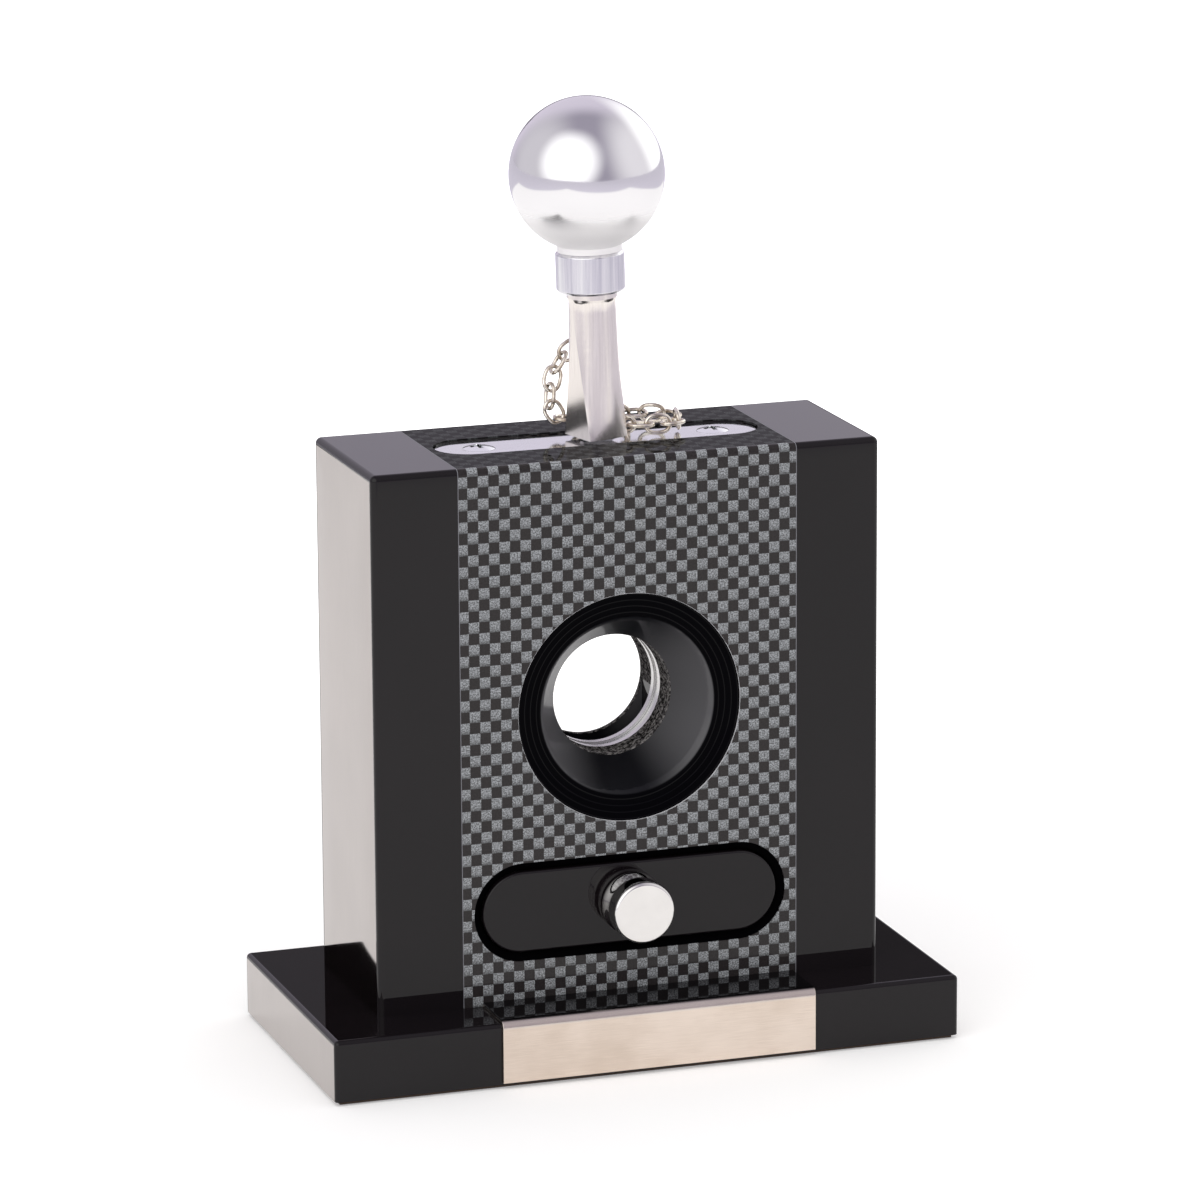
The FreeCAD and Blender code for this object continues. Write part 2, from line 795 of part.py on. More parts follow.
# Stem with the tang's slot, the eye's hole and the stud's hole
tang_hole = box(
    -tang_width / 2 - seat_gap,
    tang_width / 2 + seat_gap,
    -blade_half_y - seat_gap,
    blade_half_y + seat_gap,
    foot_z - foot_lift,
    tang_top + seat_gap,
)
stem_eye_hole = eye_hole(stem_eye_centre, Vector(0, -1, 0), stem_eye_reach)
stem_whole = lean(joined([stem_lower, stem_upper]))
save("handle_stem", [cut(stem_whole, [tang_hole, stem_eye_hole, stud(seat_gap)])])
save("knob_stud", [stud(0)])

# Collar between the stem and the ball, bevelled to the ball's neck
collar = turned(
    [
        (0, 0),
        (collar_diameter / 2 - collar_foot_bevel, 0),
        (collar_diameter / 2, collar_foot_bevel),
        (collar_diameter / 2, collar_height - collar_top_bevel),
        (collar_neck_diameter / 2, collar_height),
        (0, collar_height),
    ],
    Vector(0, 0, stem_top),
    upright,
    Vector(1, 0, 0),
)
save("knob_collar", [cut(lean(collar), [stud(seat_gap)])])

# Ball knob on a short neck
ball_r = ball_diameter / 2
neck_r = ball_neck_diameter / 2
neck_top = ball_rise - math.sqrt(ball_r ** 2 - neck_r ** 2)
ball = turned(
    [
        (0, 0),
        (neck_r, 0),
        (neck_r, neck_top),
        (ball_r, ball_rise, 0, ball_rise + ball_r),
    ],
    Vector(0, 0, collar_top),
    upright,
    Vector(1, 0, 0),
)
save("ball_knob", [cut(lean(ball), [stud(seat_gap)])])

# Drawer: a slot-shaped front with an open trough behind it
front_back = body_front + drawer_front_thickness
drawer_back = body_front + drawer_reach
front_blank = prism(
    upright_stadium(drawer_length, drawer_height, body_front), Vector(0, drawer_front_thickness, 0)
)
front_rim = [e for e in front_blank.Edges if e.BoundBox.YMax < body_front + drawer_front_round]
front_blank = front_blank.makeFillet(drawer_front_round, front_rim)


def knob_screw(grow):
    # Pan-head screw from inside the trough, through the drawer's front, into the knob
    head_y = front_back + drawer_wall
    r = knob_screw_diameter / 2 + grow
    head_r = knob_screw_head / 2 + grow
    reach = drawer_wall + drawer_front_thickness + knob_screw_grip + grow
    profile = [
        (0, knob_screw_head_height),
        (head_r, knob_screw_head_height),
        (head_r, 0),
        (r, 0),
        (r, -reach),
        (0, -reach),
    ]
    return turned(profile, Vector(0, head_y, drawer_z), Vector(0, 1, 0), Vector(1, 0, 0))


save("drawer_front", [cut(front_blank, [knob_screw(seat_gap)])])
head_face = Vector(0, front_back + drawer_wall + knob_screw_head_height, drawer_z)
save("drawer_knob_screw", [cut(knob_screw(0), cross_recess(head_face, Vector(0, -1, 0)))])

trough_length = drawer_length - 2 * drawer_wall
trough_height = drawer_height - 2 * drawer_wall
rim_z = drawer_z + drawer_rim_above_middle
tray_run = Vector(0, drawer_back - front_back, 0)
tray_blank = prism(upright_stadium(drawer_length, drawer_height, front_back), tray_run)
trough_run = Vector(0, drawer_back - front_back - 2 * drawer_wall, 0)
trough = prism(upright_stadium(trough_length, trough_height, front_back + drawer_wall), trough_run)
open_top = box(-drawer_length, drawer_length, front_back, drawer_back, rim_z, drawer_z + drawer_height)
save("drawer_tray", [cut(tray_blank, [trough, open_top, knob_screw(seat_gap)])])

# Drawer knob: a turned button with a ring, a groove and a foot
kr = knob_diameter / 2
ring_start = knob_foot_length
groove_start = ring_start + knob_ring_length
head_start = groove_start + knob_groove_length
bend = knob_face_round * (1 - math.sqrt(0.5))
drawer_knob = turned(
    [
        (0, 0),
        (knob_foot_diameter / 2, 0),
        (knob_foot_diameter / 2, ring_start),
        (kr, ring_start),
        (kr, groove_start),
        (knob_groove_diameter / 2, groove_start),
        (knob_groove_diameter / 2, head_start),
        (kr, head_start),
        (kr, knob_length - knob_face_round),
        (kr - bend, knob_length - bend, kr - knob_face_round, knob_length),
        (0, knob_length),
    ],
    Vector(0, body_front, drawer_z),
    Vector(0, -1, 0),
    Vector(1, 0, 0),
)
save("drawer_knob", [cut(drawer_knob, [knob_screw(seat_gap)])])

print("links", len(links), "lift", round(lift_travel, 2), "top", round(ball_z + ball_r, 2))
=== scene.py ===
# Table-top guillotine cigar cutter: a lacquered body with a carbon band, a handle and a drawer.
# Metres, in the frame of the CAD model: +Z is up, the front faces -Y and the table is at Z = 0.
import math

import bmesh
import bpy
from mathutils import Matrix, Vector


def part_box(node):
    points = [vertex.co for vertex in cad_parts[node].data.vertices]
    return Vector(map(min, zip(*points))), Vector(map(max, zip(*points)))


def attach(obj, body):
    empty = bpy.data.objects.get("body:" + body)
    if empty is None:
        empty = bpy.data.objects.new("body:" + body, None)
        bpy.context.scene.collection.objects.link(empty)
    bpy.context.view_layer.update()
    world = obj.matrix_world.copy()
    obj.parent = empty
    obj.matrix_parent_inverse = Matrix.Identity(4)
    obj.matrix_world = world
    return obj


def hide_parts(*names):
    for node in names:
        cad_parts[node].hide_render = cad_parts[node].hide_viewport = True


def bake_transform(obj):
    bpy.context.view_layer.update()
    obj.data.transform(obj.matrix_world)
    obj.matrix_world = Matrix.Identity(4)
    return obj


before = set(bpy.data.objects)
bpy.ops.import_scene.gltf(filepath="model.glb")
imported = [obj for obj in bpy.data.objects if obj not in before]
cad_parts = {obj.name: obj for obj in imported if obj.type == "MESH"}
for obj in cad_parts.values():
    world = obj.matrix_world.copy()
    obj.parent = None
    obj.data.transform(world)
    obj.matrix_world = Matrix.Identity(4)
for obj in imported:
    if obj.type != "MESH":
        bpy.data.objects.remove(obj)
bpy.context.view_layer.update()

mm = 0.001


# Felt pad: a brown pressed-wool sheet under the base, die-cut a little smaller than it.
# It is glued on, and its cut edge shows as a thin brown line.
class Wire:
    """A shader socket. Arithmetic on it adds Math nodes, and node() adds any other kind of node."""

    def __init__(self, socket):
        self.socket = socket

    def node(self, kind, settings=None, sockets=None, out=0):
        made = self.socket.id_data.nodes.new("ShaderNode" + kind)
        for name, value in (settings or {}).items():
            setattr(made, name, value)
        for name, value in (sockets or {}).items():
            if isinstance(value, Wire):
                self.socket.id_data.links.new(value.socket, made.inputs[name])
            else:
                made.inputs[name].default_value = value
        return Wire(made.outputs[out])

    def maths(self, operation, *values):
        return self.node("Math", {"operation": operation}, dict(enumerate(values)))

    def __add__(self, other):
        return self.maths("ADD", self, other)

    def __radd__(self, other):
        return self.maths("ADD", other, self)

    def __sub__(self, other):
        return self.maths("SUBTRACT", self, other)

    def __rsub__(self, other):
        return self.maths("SUBTRACT", other, self)

    def __mul__(self, other):
        return self.maths("MULTIPLY", self, other)

    def __truediv__(self, other):
        return self.maths("DIVIDE", self, other)

    def __gt__(self, other):
        return self.maths("GREATER_THAN", self, other)

    def __lt__(self, other):
        return self.maths("LESS_THAN", self, other)

    def step(self, low, high):
        """0 below low and 1 above high, with a smooth climb between them."""
        sockets = {"Value": self, "From Min": low, "From Max": high, "To Min": 0.0, "To Max": 1.0}
        return self.node("MapRange", {"interpolation_type": "SMOOTHSTEP"}, sockets)

    def blend(self, low, high):
        """A colour between two colours, by this value."""
        factor, colour_a, colour_b, colour_out = 0, 6, 7, 2
        sockets = {factor: self, colour_a: low, colour_b: high}
        return self.node("Mix", {"data_type": "RGBA"}, sockets, out=colour_out)

    def noise(self, place, scale, detail=2.0, roughness=0.5):
        sockets = {"Vector": place, "Scale": scale, "Detail": detail, "Roughness": roughness}
        return self.node("TexNoise", None, sockets)

    def stretched(self, place, scale):
        """A place scaled by its own amount along each axis, for noise that runs in lines."""
        return self.node("Mapping", None, {"Vector": place, "Scale": scale})


def finish(name, **constants):
    """A new material and its shader: constants are set on the shader's own sockets."""
    made = bpy.data.materials.new(name)
    made.use_nodes = True
    shader = made.node_tree.nodes["Principled BSDF"]
    for socket, value in constants.items():
        shader.inputs[socket.replace("_", " ")].default_value = value
    start = Wire(shader.outputs["BSDF"])
    place = start.node("TexCoord", out="Object")
    return made, shader, start, place


def feed(shader, **links):
    """Links values that change over the surface to the shader's sockets."""
    for socket, wire in links.items():
        shader.id_data.links.new(wire.socket, shader.inputs[socket.replace("_", " ")])


def bumped(start, height, strength, distance):
    """A normal that follows small heights."""
    sockets = {"Height": height, "Strength": strength, "Distance": distance}
    return start.node("Bump", None, sockets)


def piece(name, form, material, body, node, sharp=30):
    """A finished piece: smooth faces, with the edges kept that bend by more than the degrees given,
    its material, its body and the node that it replaces."""
    bmesh.ops.recalc_face_normals(form, faces=form.faces)
    mesh = bpy.data.meshes.new(name)
    form.to_mesh(mesh)
    form.free()
    made = bpy.data.objects.new(name, mesh)
    bpy.context.scene.collection.objects.link(made)
    mesh.materials.append(material)
    mesh.shade_smooth()
    mesh.set_sharp_from_angle(angle=math.radians(sharp))
    even = made.modifiers.new("even_normals", "WEIGHTED_NORMAL")
    even.keep_sharp = True
    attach(made, body)
    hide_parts(node)
    return made


def smooth_copy(node, name, material, body, sharp=30, moved=None):
    """A piece with a CAD node's own form: its mesh welded, flat faces joined, moved if asked."""
    weld_distance = 1e-6
    flat_within = math.radians(0.1)
    form = bmesh.new()
    form.from_mesh(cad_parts[node].data)
    bmesh.ops.remove_doubles(form, verts=form.verts, dist=weld_distance)
    bmesh.ops.dissolve_limit(form, angle_limit=flat_within, verts=form.verts, edges=form.edges)
    if moved:
        form.transform(moved)
    return piece(name, form, material, body, node, sharp=sharp)


def soften(made, width):
    """Breaks a piece's sharp edges by a small bevel, which comes before its normals are evened."""
    edge = made.modifiers.new("broken_edges", "BEVEL")
    edge.width = width
    edge.segments = 2
    edge.limit_method = "ANGLE"
    edge.angle_limit = math.radians(40)
    edge.harden_normals = True
    made.modifiers.move(len(made.modifiers) - 1, 0)


felt, felt_shader, wool, felt_place = finish("brown_wool_felt", Sheen_Weight=0.4, Roughness=0.95)
fibres = wool.noise(felt_place, 2600.0, 4.0, 0.7)
tufts = wool.noise(felt_place, 420.0, 3.0)
feed(
    felt_shader,
    Base_Color=(fibres * 0.6 + tufts * 0.4).blend((0.03, 0.017, 0.012, 1), (0.11, 0.07, 0.05, 1)),
    Normal=bumped(wool, fibres, 0.5, 0.0003),
)
felt_pad = smooth_copy("base_felt", "felt_pad", felt, "case")
soften(felt_pad, 0.2 * mm)


# Base block: fibreboard, sprayed with many coats of black lacquer and buffed to a mirror gloss.
# Its upper edges and upright corners are rounded, and its ends are cut back for the steel plates.
bore_low, bore_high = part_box("front_funnel")
bore_middle = (bore_low.z + bore_high.z) / 2
bore_edge = 12.15 * mm


def lacquer(name, painted_shade_boxes=()):
    """Black lacquer under a glossy coat, matte and blacker in the boxes given as painted shade, and bare
    chipped board in the bore.
    """
    made, shader, start, place = finish(
        name, Specular_IOR_Level=0.0, Coat_IOR=1.36, Coat_Roughness=0.012
    )
    x, y, z = (start.node("SeparateXYZ", None, {"Vector": place}, out=axis) for axis in "XYZ")
    above = z - bore_middle
    raw = start.maths("SQRT", x * x + above * above) < bore_edge
    chips = start.noise(place, 1500.0, 4.0, 0.7).step(0.42, 0.66)
    bare = chips.blend((0.010, 0.009, 0.009, 1), (0.34, 0.32, 0.31, 1))
    haze = start.noise(place, 38.0, 2.0).step(0.35, 0.75)
    black = haze.blend((0.0060, 0.0044, 0.0053, 1), (0.0075, 0.0055, 0.0066, 1))
    gloss = 1 - raw
    # Painted shade: inside each box the gloss coat is taken off and the black is made darker.
    for low, high in painted_shade_boxes:
        inside = (x > low.x) * (x < high.x) * (y > low.y) * (y < high.y)
        inside = inside * (z > low.z) * (z < high.z)
        gloss = gloss * (1 - inside)
    feed(
        shader,
        Base_Color=raw.blend(gloss.blend((0.0012, 0.0011, 0.0014, 1), black), bare),
        Roughness=0.5 + haze * 0.2,
        Coat_Weight=gloss,
        Normal=bumped(start, chips * raw, 0.5, 0.0001),
    )
    return made


base_lacquer = lacquer("base_lacquer")
smooth_copy("base_block", "lacquered_base", base_lacquer, "case")


# Side plates: satin stainless sheet, let into the ends of the base and of the body and glued.
# Each is ground and then buffed, which leaves its face a little crowned towards its edges.
def steel(name, grain, tint, rough):
    """Satin stainless: fine grinding lines along the grain and a soft buffed haze."""
    made, shader, start, place = finish(name, Metallic=1.0)
    lines = start.noise(start.stretched(place, grain), 1.0, 4.0, 0.6)
    haze = start.noise(place, 55.0, 2.0)
    dull_share = 0.9
    dull = tuple(dull_share * c for c in tint)
    feed(
        shader,
        Base_Color=(lines * 0.5 + haze * 0.5).step(0.3, 0.7).blend((*dull, 1), (*tint, 1)),
        Roughness=rough + lines * 0.03 + haze * 0.03,
        Normal=bumped(start, lines, 0.03, 0.00002),
    )
    return made


def side_plate(node, material, crown, margin):
    """A sheet whose outer face is crowned: flush at its front, back and top edges, less so at its
    foot, and proud in the middle."""
    low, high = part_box(node)
    outward = -1 if low.x < 0 else 1
    outer, inner = (low.x, high.x) if outward < 0 else (high.x, low.x)
    steps = [0, 0.02, 0.06, 0.12, 0.2, 0.3, 0.42, 0.56, 0.75, 1]
    foot_share = 0.5
    weld_distance = 1e-7
    reach = min(margin, (high.y - low.y) / 2, (high.z - low.z) / 2)

    def stations(a, b):
        return [a + reach * t for t in steps] + [b - reach * t for t in reversed(steps)]

    ys = stations(low.y, high.y)
    zs = stations(low.z, high.z)
    made = bmesh.new()
    grid = []
    for z in zs:
        row = []
        for y in ys:
            near = min(y - low.y, high.y - y, high.z - z, z - low.z + reach * foot_share)
            fall = max(0.0, 1 - near / reach)
            row.append(made.verts.new((outer + outward * crown * (1 - fall ** 2), y, z)))
        grid.append(row)
    rear = [[made.verts.new((inner, v.co.y, v.co.z)) for v in row] for row in grid]
    count_z, count_y = len(zs), len(ys)
    for j in range(count_z - 1):
        for i in range(count_y - 1):
            made.faces.new((grid[j][i], grid[j][i + 1], grid[j + 1][i + 1], grid[j + 1][i]))
            made.faces.new((rear[j][i], rear[j + 1][i], rear[j + 1][i + 1], rear[j][i + 1]))
    for j in range(count_z - 1):
        made.faces.new((grid[j][0], grid[j + 1][0], rear[j + 1][0], rear[j][0]))
        made.faces.new((grid[j][-1], rear[j][-1], rear[j + 1][-1], grid[j + 1][-1]))
    for i in range(count_y - 1):
        made.faces.new((grid[0][i], rear[0][i], rear[0][i + 1], grid[0][i + 1]))
        made.faces.new((grid[-1][i], grid[-1][i + 1], rear[-1][i + 1], rear[-1][i]))
    bmesh.ops.remove_doubles(made, verts=made.verts, dist=weld_distance)
    return piece(node + "_sheet", made, material, "case", node)


plate_steel = steel("side_plate_steel", (9000.0, 9000.0, 160.0), (0.445, 0.405, 0.385), 0.03)
base_crown, base_margin = 0.04 * mm, 3.0 * mm
for end in ("left", "right"):
    side_plate("base_side_plate_" + end, plate_steel, base_crown, base_margin)


# Front plate of the base: one strip of stainless sheet, bent over the front edge and glued on.
# Its face is satin and its bend is painted a paler grey as a painted highlight. Its top, which runs back
# to the body, is polished and painted near black as painted shade.
strip_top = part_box("base_front_plate")[1].z
bend_start = strip_top - 1.7 * mm
front_steel, front_shader, brushed, front_place = finish("front_strip_steel", Metallic=1.0)
strip_grain = brushed.noise(brushed.stretched(front_place, (260.0, 9000.0, 9000.0)), 1.0, 4.0, 0.6)
strip_cloud = brushed.noise(front_place, 75.0, 3.0)
strip_level = brushed.node("SeparateXYZ", None, {"Vector": front_place}, out="Z")
# Painted light: the top is painted near black as shade, and the bend a paler grey as highlight.
top_painted_dark = strip_level.step(strip_top - 0.5 * mm, strip_top - 0.05 * mm)
bend_painted_highlight = strip_level.step(bend_start - 0.2 * mm, bend_start + 0.2 * mm)
satin_face = (strip_grain * 0.4 + strip_cloud * 0.6).step(0.32, 0.68)
satin_tint = satin_face.blend((0.66, 0.55, 0.46, 1), (0.80, 0.69, 0.60, 1))
tint_with_painted_bend = (bend_painted_highlight * 0.55).blend(satin_tint, (0.62, 0.57, 0.54, 1))
feed(
    front_shader,
    Base_Color=top_painted_dark.blend(tint_with_painted_bend, (0.06, 0.056, 0.06, 1)),
    Roughness=0.21 + strip_grain * 0.05 - top_painted_dark * 0.19,
    Normal=bumped(brushed, strip_grain, 0.03, 0.00002),
)
front_strip = smooth_copy("base_front_plate", "front_strip", front_steel, "case")
soften(front_strip, 0.12 * mm)


# Base screws: zinc-plated wood screws, driven up through the base into the body, under the felt.
# The rivets of the cutter, the stud of the ball and the drawer knob's screw have the same plating.
zinc, zinc_shader, plating, zinc_place = finish("zinc_plate", Metallic=1.0)
spangle = plating.noise(zinc_place, 700.0, 3.0)
feed(
    zinc_shader,
    Base_Color=spangle.blend((0.42, 0.43, 0.45, 1), (0.66, 0.67, 0.68, 1)),
    Roughness=0.28 + spangle * 0.2,
)
smooth_copy("base_screws", "base_wood_screws", zinc, "case")


# Body: two fibreboard halves, doweled and glued, then lacquered as one block with rounded edges.
# It is cut for the carbon band, the funnels, the bore, the cutter, the drawer and the top plate.
body_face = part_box("body_front_half")[0].y
drawer_low, drawer_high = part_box("drawer_front")
around = 2.6 * mm
shade_inset = 0.12 * mm
# The bevel round the drawer opening is painted shade: from just behind the face, its lacquer there is
# matte and blacker.
bevel_low = Vector((drawer_low.x - around, body_face + shade_inset, drawer_low.z - around))
bevel_high = Vector((drawer_high.x + around, 0, drawer_high.z + around))
body_lacquer = lacquer("body_lacquer", [(bevel_low, bevel_high)])
smooth_copy("body_front_half", "lacquered_body_front", body_lacquer, "case")
smooth_copy("body_rear_half", "lacquered_body_rear", body_lacquer, "case")
body_crown, body_margin = 0.14 * mm, 9.0 * mm
for end in ("left", "right"):
    side_plate("body_side_plate_" + end, plate_steel, body_crown, body_margin)


# Dowels: plain beech pins with their grain along them, cut from turned rod.
# They are glued across the joint of the body's two halves, out of sight.
beech, beech_shader, timber, beech_place = finish("beech", Roughness=0.6)
beech_grain = timber.noise(timber.stretched(beech_place, (1500.0, 90.0, 1500.0)), 1.0, 4.0)
feed(beech_shader, Base_Color=beech_grain.blend((0.42, 0.27, 0.15, 1), (0.68, 0.50, 0.32, 1)))
smooth_copy("body_dowels", "beech_dowels", beech, "case")


# Carbon band: a film with a plain checker weave, laid round the front, top and back of the body.
# It is lacquered over, so the weave lies under a clear gloss, which is thinner over the top; there the
# weave is also painted near black as painted shade.
# Its cut edges catch a thin line of light, and round the funnel's mouth a ragged pale ring is painted as
# a highlight.
weave, weave_shader, film, weave_place = finish(
    "carbon_weave", Coat_Roughness=0.02, Coat_IOR=1.34, Specular_IOR_Level=0.0
)
cell_wide = 2.11 * mm
cell_high = 2.20 * mm
shift_across, shift_along = 0.40, 1.06
band_low, band_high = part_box("carbon_band")
band_half = band_high.x
body_round = 1.2 * mm
half_depth = band_high.y
bend_length = body_round * math.pi / 2
upright_length = band_high.z - body_round - band_low.z
top_reach = half_depth - body_round
half_length = upright_length + bend_length + top_reach
flat = film.node("UVMap", {"uv_map": "flat"})
across = film.node("SeparateXYZ", None, {"Vector": flat}, out="X")
along = film.node("SeparateXYZ", None, {"Vector": flat}, out="Y")
column = across / cell_wide + shift_across
course = along / cell_high + shift_along
cell_count = film.maths("FLOOR", column) + film.maths("FLOOR", course)
in_dark_cell = film.maths("FLOORED_MODULO", cell_count, 2.0)
fade = film.maths("FRACT", course).step(-0.3, 0.5)
speck = film.noise(flat, 3300.0, 2.0, 0.8).step(0.36, 0.68)
glint = speck * 0.85 + 0.15
light_cell = (fade * glint).blend((0.030, 0.029, 0.029, 1), (0.45, 0.47, 0.49, 1))
dark_cell = film.noise(flat, 3000.0, 2.0).blend((0.008, 0.006, 0.006, 1), (0.036, 0.031, 0.031, 1))
over_top = film.maths("ABSOLUTE", along - half_length) < top_reach
weave_cells = in_dark_cell.blend(light_cell, dark_cell)
# Painted shade: over the top, the weave's colour is pulled most of the way to black.
weave_with_painted_dark_top = (over_top * 0.88).blend(weave_cells, (0.004, 0.004, 0.004, 1))
edge_width = 0.14 * mm
edge_line = film.maths("ABSOLUTE", across) > band_half - edge_width
mouth_highlight_width = 0.08 * mm
ring_low, ring_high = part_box("front_funnel")
mouth_edge = (ring_high.x - ring_low.x) / 2 + mouth_highlight_width
film_x = film.node("SeparateXYZ", None, {"Vector": weave_place}, out="X")
film_z = film.node("SeparateXYZ", None, {"Vector": weave_place}, out="Z") - bore_middle
ragged = film.noise(weave_place, 900.0, 3.0) * (0.12 * mm) - 0.06 * mm
# Painted highlight: a ragged pale ring on the film round the funnel's mouth.
mouth_highlight = film.maths("SQRT", film_x * film_x + film_z * film_z) + ragged < mouth_edge
cut_film = edge_line.blend(weave_with_painted_dark_top, (0.20, 0.20, 0.22, 1))
feed(
    weave_shader,
    Base_Color=mouth_highlight.blend(cut_film, (0.66, 0.66, 0.68, 1)),
    Roughness=0.6 - speck * 0.2,
    Coat_Weight=1 - over_top * 0.74,
)
band = smooth_copy("carbon_band", "carbon_band_film", weave, "case")


def along_band(co):
    """How far a point of the band lies along it, up the front, over the top and down the back."""
    if abs(co.y) <= top_reach:
        return half_length + co.y
    beside = co.z - (band_high.z - body_round)
    turned = math.atan2(max(beside, 0.0), abs(co.y) - top_reach) * body_round
    climbed = upright_length + turned + min(beside, 0.0)
    return climbed if co.y < 0 else 2 * half_length - climbed


flat_map = band.data.uv_layers.new(name="flat")
for corner in band.data.loops:
    point = band.data.vertices[corner.vertex_index].co
    flat_map.data[corner.index].uv = (point.x, along_band(point))


# Funnels: turned rings of black lacquered wood, glued into the front and the back of the bore.
# The lip is glossy and dished just under the face, and still shows the rings of the turning tool.
# The cone that leads the cigar in to the cutter is satin, painted grey at its sides and near black at
# top and bottom as painted light and shade, and its end in the bore is bare wood.
dish_edge = 17.7 * mm
tool_feed = 1.25 * mm
funnel_lacquer, funnel_shader, turning, funnel_place = finish(
    "funnel_lacquer", Specular_IOR_Level=0.01, Coat_Roughness=0.05
)
from_side = turning.node("SeparateXYZ", None, {"Vector": funnel_place}, out="X")
from_level = turning.node("SeparateXYZ", None, {"Vector": funnel_place}, out="Z") - bore_middle
off_axis = turning.maths("SQRT", from_side * from_side + from_level * from_level)
in_cone = 1 - off_axis.step(dish_edge - 0.2 * mm, dish_edge + 0.2 * mm)
in_bore = off_axis < bore_edge
fibre = turning.noise(funnel_place, 1500.0, 4.0, 0.7).step(0.42, 0.66)
bare_wood = fibre.blend((0.02, 0.018, 0.018, 1), (0.34, 0.32, 0.31, 1))
# Painted light and shade: the cone is greyer where it faces sideways and near black where it faces up or
# down.
painted_side_light = (turning.maths("ABSOLUTE", from_side) / off_axis).step(0.2, 0.98)
satin_black_painted_light = painted_side_light.blend((0.008, 0.008, 0.010, 1), (0.098, 0.096, 0.101, 1))
painted = in_cone.blend((0.0014, 0.0013, 0.002, 1), satin_black_painted_light)
tool_line = turning.maths("FRACT", off_axis / tool_feed).step(0.82, 0.94) * (1 - in_cone)
feed(
    funnel_shader,
    Base_Color=in_bore.blend(painted, bare_wood),
    Roughness=0.3 + in_cone * 0.1,
    Coat_Weight=0.015 + in_cone * 0.4 + tool_line * 0.2 - in_bore * 0.4,
)
smooth_copy("front_funnel", "front_funnel_ring", funnel_lacquer, "case")
smooth_copy("rear_funnel", "rear_funnel_ring", funnel_lacquer, "case")


# Cutter cassette: two ground tool-steel plates, riveted over a U-shaped spacer round the blade.
# It is slid down into the body from above, and its edges show as bright rings inside the bore.
tool_steel = steel("tool_steel", (300.0, 9000.0, 9000.0), (0.66, 0.65, 0.64), 0.22)
for node in ("guide_plate_front", "guide_plate_rear", "guide_spacer"):
    smooth_copy(node, node + "_ground", tool_steel, "case")
smooth_copy("guide_rivets", "guide_rivet_heads", zinc, "case")


# Blade: a flat tool-steel plate, ground on both faces, with a round window and a bevelled edge.
# Its tang goes up through the top plate's slot and is brazed into the stem.
blade_steel = steel("blade_steel", (9000.0, 9000.0, 220.0), (0.72, 0.72, 0.72), 0.14)
smooth_copy("cutter_blade", "cutter_blade_ground", blade_steel, "handle")


# Top plate: a round-ended plate, chromed and polished, that closes the recess over the cassette.
# Two raised cross-head screws hold it, and the blade's tang comes up through its slot.
chrome, chrome_shader, bright, chrome_place = finish("top_plate_chrome", Metallic=1.0)
wipe = bright.noise(bright.stretched(chrome_place, (40.0, 400.0, 400.0)), 1.0, 3.0)
feed(
    chrome_shader,
    Base_Color=wipe.blend((0.90, 0.92, 0.93, 1), (0.97, 0.99, 0.99, 1)),
    Roughness=0.07 + wipe * 0.08,
)
top_plate = smooth_copy("top_plate", "top_plate_chromed", chrome, "case")
soften(top_plate, 0.15 * mm)
smooth_copy("top_plate_screws", "top_plate_cross_screws", chrome, "case")


# Stem: a satin drawn bar, milled flat on both sides so that each flat opens out towards the foot.
# It carries the blade below, the collar and the ball above, and the chain's eye at its back.
# Here it stands a little straighter than in the CAD model and is turned a little about its axis.
satin, satin_shader, drawn, satin_place = finish("satin_aluminium", Metallic=1.0)
drawing = drawn.noise(drawn.stretched(satin_place, (2600.0, 2600.0, 70.0)), 1.0, 4.0, 0.6)
feed(
    satin_shader,
    Base_Color=drawing.blend((0.72, 0.665, 0.62, 1), (0.98, 0.93, 0.89, 1)),
    Roughness=0.14 + drawing * 0.10,
    Normal=bumped(drawn, drawing, 0.06, 0.00003),
)
stem_points = [v.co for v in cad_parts["handle_stem"].data.vertices]
stem_foot_z = min(co.z for co in stem_points)
foot_slice = 0.5 * mm
foot_points = [co.x for co in stem_points if co.z < stem_foot_z + foot_slice]
stem_foot = Vector(((min(foot_points) + max(foot_points)) / 2, 0, stem_foot_z))
straighter = math.radians(0.7)
flat_turn = math.radians(14)
to_foot = Matrix.Translation(stem_foot)
from_foot = Matrix.Translation(-stem_foot)
stand_up = to_foot @ Matrix.Rotation(straighter, 4, "Y") @ from_foot
turned_round = stand_up @ to_foot @ Matrix.Rotation(flat_turn, 4, "Z") @ from_foot
smooth_copy(
    "handle_stem", "handle_stem_satin", satin, "handle", sharp=14, moved=turned_round
)


# Collar: a turned aluminium ring with broken edges, clamped between the stem and the ball.
# It is left as it came off the lathe and the polishing cloth, with upright streaks.
def spun(profile, centre, axis):
    """A turned form: a profile of radii and distances along an axis, spun round from pole to pole."""
    any_slant = Vector((0, 0.6, 0.8))
    side = axis.cross(any_slant).normalized()
    ahead = axis.cross(side)
    count = 160
    weld_distance = 1e-7
    turns = [2 * math.pi * k / count for k in range(count)]
    spokes = [side * math.cos(turn) + ahead * math.sin(turn) for turn in turns]
    made = bmesh.new()
    rings = []
    for radius, far in profile:
        rings.append([made.verts.new(centre + axis * far + spoke * radius) for spoke in spokes])
    for ring, after in zip(rings, rings[1:]):
        for k in range(count):
            made.faces.new((ring[k - 1], ring[k], after[k], after[k - 1]))
    bmesh.ops.remove_doubles(made, verts=made.verts, dist=weld_distance)
    return made


